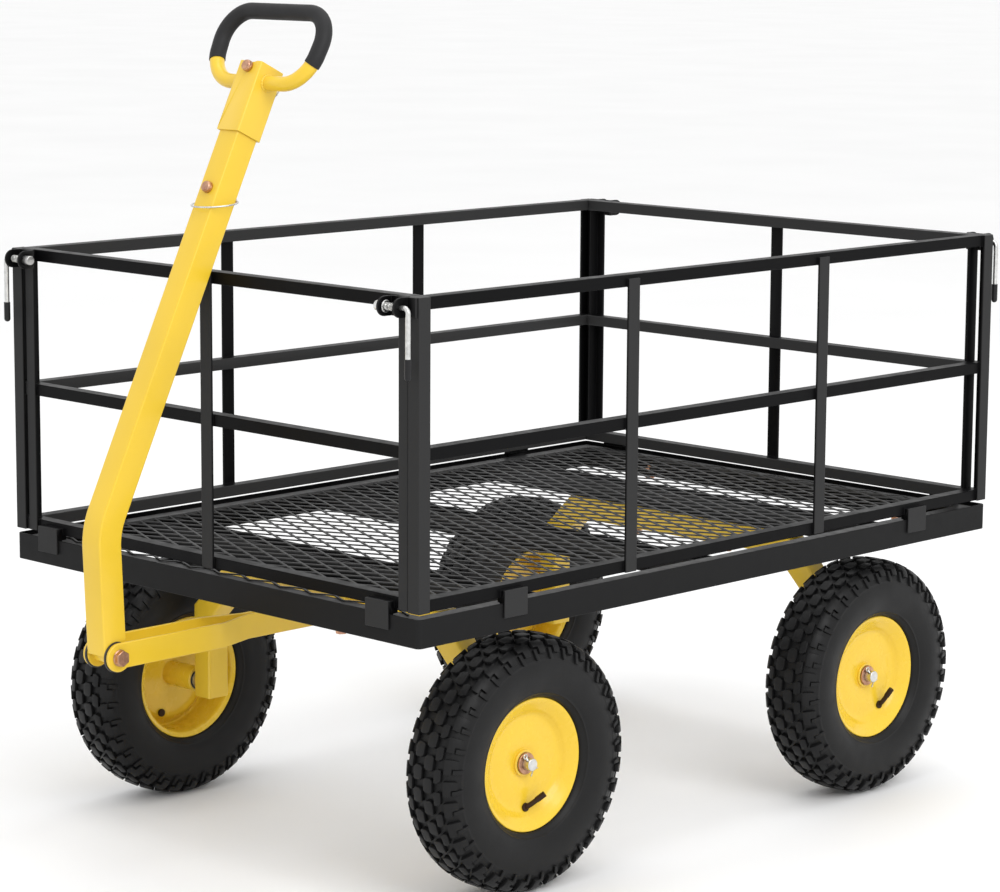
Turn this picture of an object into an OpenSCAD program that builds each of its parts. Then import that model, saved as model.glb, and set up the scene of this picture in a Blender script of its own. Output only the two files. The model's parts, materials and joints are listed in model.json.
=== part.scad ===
// Garden utility cart: lift-off bar panels, expanded steel floor, swivel front axle and fold-down pull handle.
// Millimetres. +Z up, handle end toward -Y, load bed along Y, wheel axles along X.
// Origin: on the floor, under the centre of the cart's overall box.

/* [Bed] */
// Outside width of the bed frame
bed_w = 780; // [740:5:820]
// Outside length of the bed frame
bed_l = 1126; // [1100:2:1200]
// Height of the bed frame's underside above the floor
bed_z = 353; // [352:1:360]
// Height of the bed frame's web
bed_h = 35.5; // [34:0.5:38]
// Sheet thickness of the bed frame
bed_t = 3; // [2.5:0.5:4]
// Width of the bed frame's inward bottom flange
flange_w = 25; // [20:1:30]
// Across the short diagonal of one floor diamond
diamond_short = 26; // [22:1:40]
// Across the long diagonal of one floor diamond
diamond_long = 58; // [50:1:90]

/* [Panels] */
// Height of the panels' top faces above the floor
panel_top = 774; // [760:1:790]
// Gap between the bed frame's top edge and the panels' bottom rails
panel_gap = 6.5; // [6:0.5:8]
// Height of the top and bottom rails
rail_h = 15.5; // [14:0.5:18]
// Depth of the rails
rail_d = 18; // [16:1:20]
// Height of the middle rails' underside above the floor
mid_rail_z = 578; // [560:2:600]
// Width of the upright flat bars
bar_w = 20; // [16:1:24]
// Thickness of the upright flat bars and of the corner posts
bar_t = 4; // [3:0.5:5]
// Distance of each side panel's upright bars from the panel's middle
side_bar_y = 188; // [160:4:220]
// Width of each flange of the corner posts
post_w = 19; // [18:0.5:20]
// Width of a hook tab
hook_w = 40; // [30:2:50]
// Distance of the end panels' hook tabs from their middle
end_hook_x = 320; // [290:5:320]
// Distance of the side panels' hook tabs from their middle
side_hook_y = 400; // [300:10:440]

/* [Wheels] */
// Tyre outside radius
tyre_r = 165; // [160:1:170]
// Tyre width
tyre_w = 86; // [80:1:92]
// Distance of a wheel's middle plane from the cart's middle
wheel_x = 332; // [328:1:340]
// Front axle's distance ahead of the bed's middle
front_axle_y = 336; // [330:2:350]
// Rear axle's distance behind the bed's middle
rear_axle_y = 352; // [340:2:370]
// Radius of the axle shafts
shaft_r = 8; // [7:0.5:9]

/* [Axle frames] */
// Outside size of the square axle tube
axle_tube = 35; // [30:1:40]
// Wall of the axle tube
axle_wall = 3; // [2:0.5:4]
// Thickness of the steering plates
plate_t = 6; // [5:0.5:6]

/* [Handle] */
// Outside size of the square handle tube
handle_w = 35; // [33:0.5:36]
// Wall of the handle tube
handle_wall = 2; // [1.5:0.5:3]
// Height of the handle's pivot above the floor
pivot_z = 308.5; // [300:0.5:312]
// Distance of the handle's pivot ahead of the bed's middle
pivot_y = 722.5; // [722:0.5:740]
// Forward lean of the lower handle
lean_low = 2.5; // [2:0.5:4]
// Backward lean of the upper handle
lean_high = 25.6; // [20:0.1:25.6]
// Bend radius at the middle of the handle tube
bend_r = 90; // [80:5:120]
// Length of the straight lower handle above the pivot
lower_run = 135; // [130:1:150]
// Length of the straight upper handle
upper_run = 596; // [570:2:610]

/* [Latches] */
// Radius of the latch bolts
latch_r = 3.25; // [3:0.25:4]
// Height of the latch bolts above the floor
latch_z = 762; // [756:1:762]
// Stand-off of the latch bolts from the bed's end faces
latch_off = 13.5; // [13:0.5:20]
// Reach of the latch bolts' tips past their brackets
latch_reach = 11; // [8:1:14]

/* [Hidden] */

powder_black = [0.11, 0.11, 0.12];
powder_yellow = [0.97, 0.80, 0.16];
rubber_black = [0.16, 0.16, 0.17];
zinc_brown = [0.62, 0.42, 0.34];
zinc_silver = [0.72, 0.72, 0.72];

left = -1;
right = 1;
front = -1;
rear = 1;

run_fit = 0.05;          // radial clearance of every shaft and pin
face_gap = 0.3;          // air between faces that slide past each other
past = 1;                // how far a cutter runs past the face that it opens

half_w = bed_w / 2;
half_l = bed_l / 2;
bed_top = bed_z + bed_h;
panel_z = bed_top + panel_gap;
axle_z = tyre_r;

// The overall box runs from the handle's bend to the rear latch brackets
bend_angle = lean_low + lean_high;
bend_steps = 28;
bend_front = pivot_y + lower_run * sin(lean_low) + bend_r * (1 - cos(lean_low)) + handle_w / 2;
lug_r = 12;
lug_reach = latch_off + lug_r;
row_shift = (bend_front - half_l - lug_reach) / 2;

corner_r = 7;            // outside radius of the bed frame's corners
bearer_w = 40;           // floor bearer channel
bearer_wall = 3;
bearer_top = bed_z + 28;
mesh_edge = 12;          // floor mesh border's distance inside the bed frame's outside
mesh_border = 20;
mesh_t = 3.4;
mesh_z = bearer_top;

beam_top = bed_z - plate_t - 1 - plate_t;
thrust_t = 1 - 0.1;
leg_in = 240;            // axle legs, from the cart's middle
leg_out = 272;
leg_bottom = axle_z - 18;
shoulder_in = 193;       // where the beam's underside meets the slope
shoulder_out = 207.5;
rear_lift = bed_z - beam_top;

strap_t = 5;
strap_h = 32;
strap_in = handle_w / 2 + 2.5;
strap_bottom = pivot_z - 14;
strap_eye_r = 18;
joggle = 17.5;
joggle_front = 552;
joggle_back = 496;
pivot_r = 6;

sleeve_w = handle_w + 6;
sleeve_wall = 2.6;
sleeve_start = upper_run - 92.5;
sleeve_len = 94;
loop_r = 9.5;            // grip loop rod
cover_t = 1.1;
loop_low = sleeve_start + sleeve_len - 21.5;
loop_high = loop_low + 97;
loop_foot = [47.5, loop_low + 46];   // centres of the grip loop's foot and top bends
loop_foot_r = 46;
loop_top = [54.5, loop_high - 40];
loop_top_r = 40;
loop_span = loop_top - loop_foot;
loop_lean = atan2(loop_span.x, loop_span.y) - asin((loop_foot_r - loop_top_r) / norm(loop_span));
cover_end = 24;          // how far down the foot bends the rubber reaches, in degrees
loop_sides = 24;
pin_r = 4;
pin_low = sleeve_start - 77.5;
pin_high = sleeve_start + sleeve_len - 8.5;
bail_r = 1.1;             // wire of the hitch pins' bails
bail_tilt = 30;
ring_r = 11;             // split ring in the upper hitch pin's tail
ring_y = sleeve_w / 2 + 9;

hub_in = -48;            // hub tube's ends, from the wheel's middle plane
hub_out = 16;
hub_r = 17;
bush_r = 14;
washer_r = 14;
washer_t = 3;
split_pin_turn = 35;
bead_r = 80;
valve_at = [3, -58];      // valve hole's place in the rim's dish
valve_r = 3.4;

rail_out = half_w - bar_t;                 // side rails' outer faces
end_recess = 3.5;                          // end panels' bars sit inside the bed's end faces
end_face = half_l - end_recess;
end_rail_out = end_face - bar_t;
end_half = half_w - post_w - 4;            // end panels' half width
end_post_w = 16;
end_post_d = 18.5;
hook_t = 3;
hook_drop = panel_z - 25;
hook_rise = 9.5;

latch_y = half_l + latch_off;
lug_t = 3;
lug_out = half_w - 17;                     // outer lug's outer face
lug_in = lug_out - 30;                     // inner lug's inner face
bolt_bend = 6;
bolt_leg_x = half_w - 5;
bolt_tip_r = 6;
bolt_leg = 80;
collar_r = 7.5;
collar_t = 2;
collar_x = lug_in + lug_t + 0.6;
tip_r = 4.2;
tip_len = 22;
spring_wire = 0.6;
spring_turns = 7;

clip_x = 241;            // floor clips, bolted through the end flanges
clip_y = half_l - 13;
clip_bolt_r = 4;
clip_t = 3;
bolt_r = 5;              // rear axle bolts
bolt_x = 90;

// ---- helpers ----

module place() { translate([0, row_shift, 0]) children(); }

// Block from its low corner to its high corner
module block(low, high) { translate(low) cube(high - low); }

// Cylinder along X between two positions
module xrod(r, x0, x1, fn = 64) { translate([x0, 0, 0]) rotate([0, 90, 0]) cylinder(h = x1 - x0, r = r, $fn = fn); }

// Cylinder along Y between two positions
module yrod(r, y0, y1, fn = 64) { translate([0, y1, 0]) rotate([90, 0, 0]) cylinder(h = y1 - y0, r = r, $fn = fn); }

// Round rod between any two points
module rod(a, b, r) {
    d = b - a;
    translate(a)
        rotate([0, acos(d.z / norm(d)), atan2(d.y, d.x)])
            cylinder(h = norm(d), r = r, $fn = 24);
}

// Hexagon head or nut along Z, across its flats
module hexagon(flats, h) { cylinder(h = h, d = flats / cos(30), $fn = 6); }

module both_sides() {
    children();
    mirror([1, 0, 0]) children();
}

module both_ends() {
    children();
    mirror([0, 1, 0]) children();
}

// A right rear corner's part, moved to any corner
module corner(side, end) { mirror([side == left ? 1 : 0, 0, 0]) mirror([0, end == front ? 1 : 0, 0]) children(); }

module rounded_plan(w, l, r) {
    square([w - 2 * r, l], center = true);
    square([w, l - 2 * r], center = true);
    for (x = [-1, 1], y = [-1, 1]) translate([x * (w / 2 - r), y * (l / 2 - r)]) circle(r = r, $fn = 48);
}

// ---- bed ----

module bed_frame() color(powder_black) place() difference() {
    translate([0, 0, bed_z]) linear_extrude(height = bed_h) rounded_plan(bed_w, bed_l, corner_r);
    translate([0, 0, bed_z + bed_t]) linear_extrude(height = bed_h)
        rounded_plan(bed_w - 2 * bed_t, bed_l - 2 * bed_t, corner_r - bed_t);
    block([flange_w - half_w, flange_w - half_l, bed_z - past], [half_w - flange_w, half_l - flange_w, bed_top]);
    both_sides() both_ends() translate([clip_x, clip_y, bed_z - past])
        cylinder(h = bed_t + 2 * past, r = clip_bolt_r + run_fit, $fn = 48);
}

// Upward channel across the bed at one position along it
module bearer(y) {
    inner = half_w - flange_w - face_gap;
    difference() {
        union() {
            block([-inner, y - bearer_w / 2, bed_z], [inner, y + bearer_w / 2, bearer_top]);
            block([bed_t + face_gap - half_w, y - bearer_w / 2, bed_z + bed_t],
                  [half_w - bed_t - face_gap, y + bearer_w / 2, bearer_top]);
        }
        block([-half_w, y - bearer_w / 2 + bearer_wall, bed_z + bed_t + bearer_wall],
              [half_w, y + bearer_w / 2 - bearer_wall, bearer_top + past]);
    }
}

module floor_bearers() color(powder_black) place() {
    difference() {
        bearer(-front_axle_y);
        translate([0, -front_axle_y, bed_z - past]) cylinder(h = 10, r = shaft_r + run_fit, $fn = 64);
    }
    bearer(0);
    difference() {
        bearer(rear_axle_y);
        for (x = [-bolt_x, bolt_x]) translate([x, rear_axle_y, bed_z - past])
            cylinder(h = 10, r = bolt_r + run_fit, $fn = 48);
    }
    // Bolted clips that carry the mesh at the two ends
    both_ends() both_sides() difference() {
        block([clip_x - 12, clip_y - 9, bed_z + bed_t], [clip_x + 12, clip_y + 9, bearer_top]);
        block([clip_x - 12 + clip_t, clip_y - 9 - past, bed_z + bed_t + clip_t],
              [clip_x + 12 + past, clip_y + 9 + past, bearer_top - clip_t]);
        translate([clip_x, clip_y, bed_z]) cylinder(h = 10, r = clip_bolt_r + run_fit, $fn = 48);
    }
}

// One layer of parallel strands, each cut to the floor's inside
module strands(angle, z) {
    w = half_w - mesh_edge - mesh_border / 2;
    l = half_l - mesh_edge - mesh_border / 2;
    pitch = diamond_short * cos(angle);
    reach = l * cos(angle) + w * sin(abs(angle));
    for (k = [-floor(reach / pitch) : floor(reach / pitch)]) {
        c = k * pitch;
        // strand points satisfy  -x sin + y cos = c, so y = (c + x sin) / cos
        xa = (-l * cos(angle) - c) / sin(angle);
        xb = (l * cos(angle) - c) / sin(angle);
        x0 = max(-w, min(xa, xb));
        x1 = min(w, max(xa, xb));
        if (x1 - x0 > 30)
            translate([x0, (c + x0 * sin(angle)) / cos(angle), z])
                rotate([0, 0, angle])
                    translate([4, -1, 0]) cube([(x1 - x0) / cos(angle) - 8, 2, 1.2]);
    }
}

module floor_mesh() color(powder_black) place() {
    slope = atan(diamond_short / diamond_long);
    w = half_w - mesh_edge;
    l = half_l - mesh_edge;
    difference() {
        block([-w, -l, mesh_z], [w, l, mesh_z + mesh_t]);
        block([mesh_border - w, mesh_border - l, mesh_z - past], [w - mesh_border, l - mesh_border, mesh_z + mesh_t + past]);
    }
    strands(slope, mesh_z + mesh_t + 0.05);
    strands(-slope, mesh_z + mesh_t + 1.3);
}

module turntable_plate() color(powder_black) place() difference() {
    block([-80, -front_axle_y - 60, bed_z - plate_t], [80, -front_axle_y + 60, bed_z]);
    translate([0, -front_axle_y, bed_z - plate_t - past])
        cylinder(h = plate_t + 2 * past, r = shaft_r + run_fit, $fn = 64);
}

module bolt_down(flats, head, r, length) {
    hexagon(flats, head);
    translate([0, 0, -length]) cylinder(h = length, r = r, $fn = 48);
}

module bed_bolts() color(zinc_brown) place() {
    // Axle bolts, head in the bearer and nut under the axle beam
    for (x = [-bolt_x, bolt_x]) translate([x, rear_axle_y, 0]) {
        translate([0, 0, bed_z + bed_t + bearer_wall]) bolt_down(17, 6.4, bolt_r, axle_tube + bed_t + bearer_wall + 12);
        translate([0, 0, bed_z - axle_tube - 8]) difference() {
            hexagon(17, 8);
            translate([0, 0, -past]) cylinder(h = 8 + 2 * past, r = bolt_r, $fn = 48);
        }
    }
    // Clip bolts, head under the end flanges
    both_ends() both_sides() translate([clip_x, clip_y, bed_z]) mirror([0, 0, 1]) bolt_down(13, 5.3, clip_bolt_r, 16);
    both_ends() both_sides() translate([clip_x, clip_y, bed_z + bed_t + clip_t]) difference() {
        hexagon(13, 6);
        translate([0, 0, -past]) cylinder(h = 6 + 2 * past, r = clip_bolt_r, $fn = 48);
    }
}

module kingpin() color(zinc_brown) place() translate([0, -front_axle_y, bed_z + bed_t + bearer_wall])
    bolt_down(24, 9, shaft_r, bed_t + bearer_wall + bed_z - beam_top + axle_tube + 18);

module kingpin_nut() color(zinc_brown) place()
    translate([0, -front_axle_y, beam_top - axle_tube - face_gap - 13]) difference() {
        union() {
            hexagon(24, 11);
            translate([0, 0, 11]) cylinder(h = 2, r = 15, $fn = 64);
        }
        translate([0, 0, -past]) cylinder(h = 13 + 2 * past, r = shaft_r, $fn = 64);
    }

// ---- axle frames ----

// Bridge outline seen from the front, with walls moved in by a wall thickness
module bridge_plan(t, lift) {
    s = t * tan(22.5);
    top = beam_top + lift - t;
    low = beam_top + lift - axle_tube + t;
    drop_out = beam_top + lift - (leg_out - shoulder_out);
    drop_in = low - (leg_in - shoulder_in) - s;
    foot = leg_bottom - (t > 0 ? past : 0);
    outline = [
        [shoulder_out - s, top], [leg_out - t, drop_out - s], [leg_out - t, foot],
        [leg_in + t, foot], [leg_in + t, drop_in], [shoulder_in + s, low]
    ];
    polygon(concat(outline, [for (i = [len(outline) - 1 : -1 : 0]) [-outline[i].x, outline[i].y]]));
}

module axle_frame(lift) {
    difference() {
        rotate([90, 0, 0]) translate([0, 0, -axle_tube / 2]) linear_extrude(height = axle_tube) bridge_plan(0, lift);
        rotate([90, 0, 0]) translate([0, 0, axle_wall - axle_tube / 2])
            linear_extrude(height = axle_tube - 2 * axle_wall) bridge_plan(axle_wall, lift);
        both_sides() translate([0, 0, axle_z]) xrod(shaft_r + run_fit, leg_in + axle_wall + past, leg_out + past);
    }
    // Closing plates under the legs
    both_sides() block([leg_in + axle_wall, axle_wall - axle_tube / 2, leg_bottom],
                       [leg_out - axle_wall, axle_tube / 2 - axle_wall, leg_bottom + axle_wall]);
}

module rear_axle_frame() color(powder_yellow) place() translate([0, rear_axle_y, 0]) difference() {
    axle_frame(rear_lift);
    for (x = [-bolt_x, bolt_x]) translate([x, 0, bed_z - axle_tube - past])
        cylinder(h = axle_tube + 2 * past, r = bolt_r + run_fit, $fn = 48);
}

module front_axle_frame() color(powder_yellow) place() translate([0, -front_axle_y, 0]) difference() {
    axle_frame(0);
    translate([0, 0, beam_top - axle_tube - past])
        cylinder(h = axle_tube + 2 * past, r = shaft_r + run_fit, $fn = 64);
}

// Stub shafts with the fixed collars that space the wheels off the legs
module axle_shafts(y) color(zinc_silver) place() translate([0, y, axle_z]) both_sides() difference() {
    union() {
        xrod(shaft_r, leg_in + axle_wall + face_gap, wheel_x + hub_out + 14);
        xrod(12, leg_out, wheel_x + hub_in - face_gap);
    }
    translate([wheel_x + hub_out + 8, 0, 0]) rotate([split_pin_turn, 0, 0])
        cylinder(h = 40, r = 2, center = true, $fn = 32);
}

module rear_axle_shafts() { axle_shafts(rear_axle_y); }
module front_axle_shafts() { axle_shafts(-front_axle_y); }

module washers(y) color(zinc_brown) place() translate([0, y, axle_z]) both_sides() difference() {
    xrod(washer_r, wheel_x + hub_out + face_gap, wheel_x + hub_out + face_gap + washer_t);
    xrod(shaft_r + run_fit, wheel_x + hub_out, wheel_x + hub_out + 2 * washer_t);
}

module rear_washers() { washers(rear_axle_y); }
module front_washers() { washers(-front_axle_y); }

// Split pin with an eye on one side and two opened legs on the other
module split_pins(y) color(zinc_silver) place() translate([0, y, axle_z]) both_sides()
    translate([wheel_x + hub_out + 8, 0, 0]) rotate([split_pin_turn, 0, 0]) {
        rod([0, 0, -11], [0, 0, 11], 1.9);
        translate([0, 0, 13.5]) rotate([0, 90, 0]) rotate_extrude($fn = 64) translate([2.8, 0]) circle(r = 0.9, $fn = 24);
        rod([0, 0, -10.5], [0, 8, -14], 0.9);
        rod([0, 0, -10.5], [0, -7, -15], 0.9);
    }

module rear_split_pins() { split_pins(rear_axle_y); }
module front_split_pins() { split_pins(-front_axle_y); }

module steering_plate() color(powder_yellow) place() difference() {
    block([-75, -front_axle_y - 55, beam_top], [75, -front_axle_y + 55, beam_top + plate_t]);
    translate([0, -front_axle_y, beam_top - past]) cylinder(h = plate_t + 2 * past, r = shaft_r + run_fit, $fn = 64);
}

module thrust_washer() color(zinc_silver) place() translate([0, -front_axle_y, beam_top + plate_t]) difference() {
    cylinder(h = thrust_t, r = 38, $fn = 96);
    translate([0, 0, -past]) cylinder(h = thrust_t + 2 * past, r = shaft_r + run_fit, $fn = 64);
}

// ---- tongue ----

// Plan of one strap behind its eye, stepping in towards the cart's middle
module strap_plan() {
    polygon([
        [strap_in, -pivot_y], [strap_in + strap_t, -pivot_y], [strap_in + strap_t, -joggle_front],
        [strap_in + strap_t - joggle, -joggle_back], [strap_in + strap_t - joggle, -front_axle_y - axle_tube / 2],
        [strap_in - joggle, -front_axle_y - axle_tube / 2], [strap_in - joggle, -joggle_back],
        [strap_in, -joggle_front]
    ]);
}

module tongue_straps() color(powder_yellow) place() {
    both_sides() difference() {
        union() {
            translate([0, 0, strap_bottom]) linear_extrude(height = strap_h) strap_plan();
            translate([0, -pivot_y, pivot_z]) xrod(strap_eye_r, strap_in, strap_in + strap_t);
        }
        translate([0, -pivot_y, pivot_z]) xrod(pivot_r + run_fit, strap_in - past, strap_in + strap_t + past);
    }
    // Plate between the straps, just behind the parked handle
    block([-strap_in, handle_w / 2 + face_gap - pivot_y, strap_bottom + 3],
          [strap_in, handle_w / 2 + face_gap + strap_t - pivot_y, strap_bottom + strap_h - 3]);
}

module pivot_bolt() color(zinc_brown) place() translate([0, -pivot_y, pivot_z]) {
    xrod(pivot_r, -strap_in - strap_t - 14, strap_in + strap_t);
    translate([strap_in + strap_t, 0, 0]) rotate([0, 90, 0]) {
        hexagon(18, 7.5);
        cylinder(h = 1, r = 10.5, $fn = 48);
    }
}

module pivot_nut() color(zinc_brown) place() translate([-strap_in - strap_t - 10, -pivot_y, pivot_z])
    rotate([0, 90, 0]) difference() {
        hexagon(18, 10);
        translate([0, 0, -past]) cylinder(h = 10 + 2 * past, r = pivot_r, $fn = 48);
    }

// ---- handle ----

// The handle's own frame: origin at the pivot, +Z up the lower tube
module handle_frame() { place() translate([0, -pivot_y, pivot_z]) rotate([lean_low, 0, 0]) children(); }

// The frame at the start of the upper tube, +Z along it
module upper_frame() {
    translate([0, bend_r * (1 - cos(bend_angle)), lower_run + bend_r * sin(bend_angle)])
        rotate([-bend_angle, 0, 0]) children();
}

// Square bar along the handle's path, from a height on the lower run to a distance up the upper run
module handle_bar(w, start, top) {
    bend = [for (i = [0 : bend_steps]) let (a = bend_angle * i / bend_steps)
        [bend_r * (1 - cos(a)), lower_run + bend_r * sin(a), a]];
    end = bend[bend_steps] + top * [sin(bend_angle), cos(bend_angle), 0];
    stations = concat([[0, start, 0]], bend, [end]);
    n = len(stations);
    polyhedron(
        [for (s = stations, c = [[-1, -1], [1, -1], [1, 1], [-1, 1]])
            [c.x * w / 2, s.x + c.y * w / 2 * cos(s.z), s.y - c.y * w / 2 * sin(s.z)]],
        concat([[0, 1, 2, 3], [for (k = [1 : 4]) 4 * n - k]],
               [for (i = [0 : n - 2], k = [0 : 3]) let (p = 4 * i + k, q = 4 * i + (k + 1) % 4) [p, p + 4, q + 4, q]]));
}

module handle_tube() color(powder_yellow) handle_frame() difference() {
    union() {
        difference() {
            union() {
                handle_bar(handle_w, 0, upper_run);
                xrod(handle_w / 2, -handle_w / 2, handle_w / 2);
            }
            handle_bar(handle_w - 2 * handle_wall, -handle_w, upper_run + past);
            block([handle_wall - handle_w / 2, -handle_w, -handle_w], [handle_w / 2 - handle_wall, handle_w, 3]);
        }
        // Bush across the cheeks, proud of them on both sides
        xrod(pivot_r + 3.5, face_gap - strap_in, strap_in - face_gap);
    }
    xrod(pivot_r + run_fit, -handle_w, handle_w);
    upper_frame() for (z = [pin_low, pin_high]) translate([0, 0, z]) yrod(pin_r + run_fit, -handle_w, handle_w);
}

module grip_sleeve() color(powder_yellow) handle_frame() upper_frame() difference() {
    block([-sleeve_w / 2, -sleeve_w / 2, sleeve_start], [sleeve_w / 2, sleeve_w / 2, sleeve_start + sleeve_len]);
    block([sleeve_wall - sleeve_w / 2, sleeve_wall - sleeve_w / 2, sleeve_start - past],
          [sleeve_w / 2 - sleeve_wall, sleeve_w / 2 - sleeve_wall, sleeve_start + sleeve_len + past]);
    translate([0, 0, pin_high]) yrod(pin_r + run_fit, -sleeve_w, sleeve_w);
    // Hollowed top edge
    translate([0, 0, sleeve_start + sleeve_len + 34]) yrod(36, -sleeve_w, sleeve_w, 120);
}

// Arc of a round bar in the loop's plane: centre, bend radius, first angle, sweep
module loop_arc(centre, bend, first, sweep, r) {
    translate([centre.x, 0, centre.y]) rotate([90, 0, 0]) rotate([0, 0, first])
        rotate_extrude(angle = sweep, $fn = 180) translate([bend, 0]) circle(r = r, $fn = 48);
}

// Points of an arc about a centre, from one angle to another
function arc(centre, r, from, to, steps) =
    [for (i = [0 : steps]) let (a = from + (to - from) * i / steps) centre + r * [cos(a), sin(a)]];

// Right half of the grip loop's middle line, from an angle on its foot bend up to the top
function loop_side(from) = concat(
    arc(loop_foot, loop_foot_r, from, -loop_lean, 14),
    arc(loop_top, loop_top_r, -loop_lean, 90, 16));

function mirrored(path) = [for (i = [len(path) - 1 : -1 : 0]) [-path[i].x, path[i].y]];

// Ring of points round one point of a flat path, square to its direction
function ring_at(path, i, r) =
    let (n = len(path), d = path[min(i + 1, n - 1)] - path[max(i - 1, 0)], u = [d.y, -d.x] / norm(d))
    [for (k = [0 : loop_sides - 1]) let (b = 360 * k / loop_sides)
        [path[i].x + r * cos(b) * u.x, r * sin(b), path[i].y + r * cos(b) * u.y]];

// Skin between neighbouring rings, the first point of the first ring being point number base
function skin(base, rings, inward) =
    [for (i = [0 : rings - 2], k = [0 : loop_sides - 1])
        let (n = (k + 1) % loop_sides, p = base + i * loop_sides, q = p + loop_sides)
        inward ? [p + n, p + k, q + k, q + n] : [p + k, p + n, q + n, q + k]];

module bar_along(path, r) {
    n = len(path);
    last = (n - 1) * loop_sides;
    polyhedron(
        [for (i = [0 : n - 1]) each ring_at(path, i, r)],
        concat(skin(0, n, false),
               [[for (k = [0 : loop_sides - 1]) loop_sides - 1 - k], [for (k = [0 : loop_sides - 1]) last + k]]));
}

module sleeve_along(path, r, bore) {
    n = len(path);
    inner = n * loop_sides;
    last = (n - 1) * loop_sides;
    polyhedron(
        concat([for (i = [0 : n - 1]) each ring_at(path, i, r)], [for (i = [0 : n - 1]) each ring_at(path, i, bore)]),
        concat(skin(0, n, false), skin(inner, n, true),
               [for (k = [0 : loop_sides - 1]) let (m = (k + 1) % loop_sides) [m, k, inner + k, inner + m]],
               [for (k = [0 : loop_sides - 1]) let (m = (k + 1) % loop_sides)
                   [last + k, last + m, inner + last + m, inner + last + k]]));
}

module grip_loop() color(powder_yellow) handle_frame() upper_frame() {
    half = concat([[sleeve_w / 2, loop_low], [sleeve_w / 2 + 12, loop_low]], loop_side(-90));
    bar_along(concat(half, mirrored(half)), loop_r);
}

module grip_cover() color(rubber_black) handle_frame() upper_frame() {
    half = loop_side(-cover_end);
    sleeve_along(concat(half, mirrored(half)), loop_r + cover_t, loop_r + 2 * run_fit);
}

// Pin through the handle, front to back: half width of what it crosses
module hitch_pin(half) {
    yrod(pin_r, -half, half + 13);
    yrod(7.5, -half - 3, -half);
    translate([0, -half - 3, 0]) difference() {
        sphere(r = 7.5, $fn = 64);
        block([-8, 0, -8], [8, 8, 8]);
        block([-8, -8, -8], [8, -4.5, 8]);
    }
}

module hitch_pins() color(zinc_brown) handle_frame() upper_frame() {
    translate([0, 0, pin_low]) hitch_pin(handle_w / 2);
    translate([0, 0, pin_high]) difference() {
        hitch_pin(sleeve_w / 2);
        translate([0, ring_y, 0]) xrod(2, -2 * pin_r, 2 * pin_r, 32);
    }
}

// Arc of wire in the XY plane, open about +Y
module wire_ring(r, opening) {
    rotate([0, 0, 90 + opening / 2]) rotate_extrude(angle = 360 - opening, $fn = 120)
        translate([r, 0]) circle(r = bail_r, $fn = 24);
}

module pin_bails() color(zinc_silver) handle_frame() upper_frame() {
    // Spring bail round the handle, its ends against the lower pin's tail
    r = handle_w / 2 * sqrt(2) + 4.5;
    translate([0, 0, pin_low - r * sin(bail_tilt)]) rotate([bail_tilt, 0, 0])
        wire_ring(r, 2 * asin((pin_r + bail_r + face_gap) / r));
    // Split ring that hangs from the upper pin's tail
    translate([0, ring_y, pin_high + 0.4 - ring_r]) rotate([90, 0, 0]) rotate([0, 0, 180]) wire_ring(ring_r, 12);
}

// ---- panels ----

// Hook tab at one place on a panel whose bed face is the plane x = face and rail face x = rail
module hook(face, rail) {
    out = face + face_gap + 0.1;
    inside = face - bed_t - face_gap - 0.1;
    w = hook_w / 2;
    // Outer plate, bridge over the bed frame's edge and inner plate
    block([out, -w, hook_drop], [out + hook_t, w, panel_z + hook_rise]);
    block([rail - 6, -w, bed_top], [out + hook_t, w, panel_z]);
    block([inside - hook_t, -w, hook_drop], [inside, w, panel_z]);
    block([rail, -w, panel_z], [out + hook_t, w, panel_z + hook_rise]);
}

rails_z = [panel_z, mid_rail_z, panel_top - rail_h];

// Right side panel; the left one is its mirror image
module side_panel() {
    reach = half_l - bar_t;
    for (z = rails_z) block([rail_out - rail_d, -reach, z], [rail_out, reach, z + rail_h]);
    for (y = [-side_bar_y, side_bar_y])
        block([rail_out, y - bar_w / 2, panel_z], [half_w, y + bar_w / 2, panel_top - 5]);
    both_ends() {
        block([half_w - bar_t, half_l - post_w, panel_z], [half_w, half_l, panel_top]);
        block([half_w - post_w, half_l - bar_t, panel_z], [half_w, half_l, panel_top]);
        translate([0, side_hook_y, 0]) hook(half_w, rail_out);
    }
}

// U bracket on the right rear corner post, its lugs bored for a stepped latch bolt
module latch_bracket() {
    block([lug_in, half_l, latch_z - lug_r], [half_w - 3, half_l + lug_t, latch_z + lug_r]);
    difference() {
        for (x = [lug_in, lug_out - lug_t]) {
            block([x, half_l, latch_z - lug_r], [x + lug_t, latch_y, latch_z + lug_r]);
            translate([0, latch_y, latch_z]) xrod(lug_r, x, x + lug_t);
        }
        translate([0, latch_y, latch_z]) {
            xrod(bolt_tip_r + run_fit, lug_in - past, lug_in + lug_t + past);
            xrod(latch_r + run_fit, lug_out - lug_t - past, lug_out + past);
        }
    }
}

module right_latch_brackets() color(powder_black) place() both_ends() latch_bracket();
module left_latch_brackets() color(powder_black) place() mirror([1, 0, 0]) both_ends() latch_bracket();

module right_panel() color(powder_black) place() side_panel();
module left_panel() color(powder_black) place() mirror([1, 0, 0]) side_panel();

// Rear end panel; the front one is its mirror image
module end_panel() {
    for (z = rails_z) block([-end_half, end_rail_out - rail_d, z], [end_half, end_rail_out, z + rail_h]);
    block([-bar_w / 2, end_rail_out, panel_z], [bar_w / 2, end_face, panel_top - 5]);
    both_sides() {
        block([end_half - end_post_w, end_rail_out, panel_z], [end_half, end_face, panel_top]);
        block([end_half - bar_t, end_face - end_post_d, panel_z], [end_half, end_face, panel_top]);
        translate([end_hook_x, 0, 0]) mirror([1, -1, 0]) hook(half_l, end_rail_out);
    }
}

module rear_panel() color(powder_black) place() end_panel();
module front_panel() color(powder_black) place() mirror([0, 1, 0]) end_panel();

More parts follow.
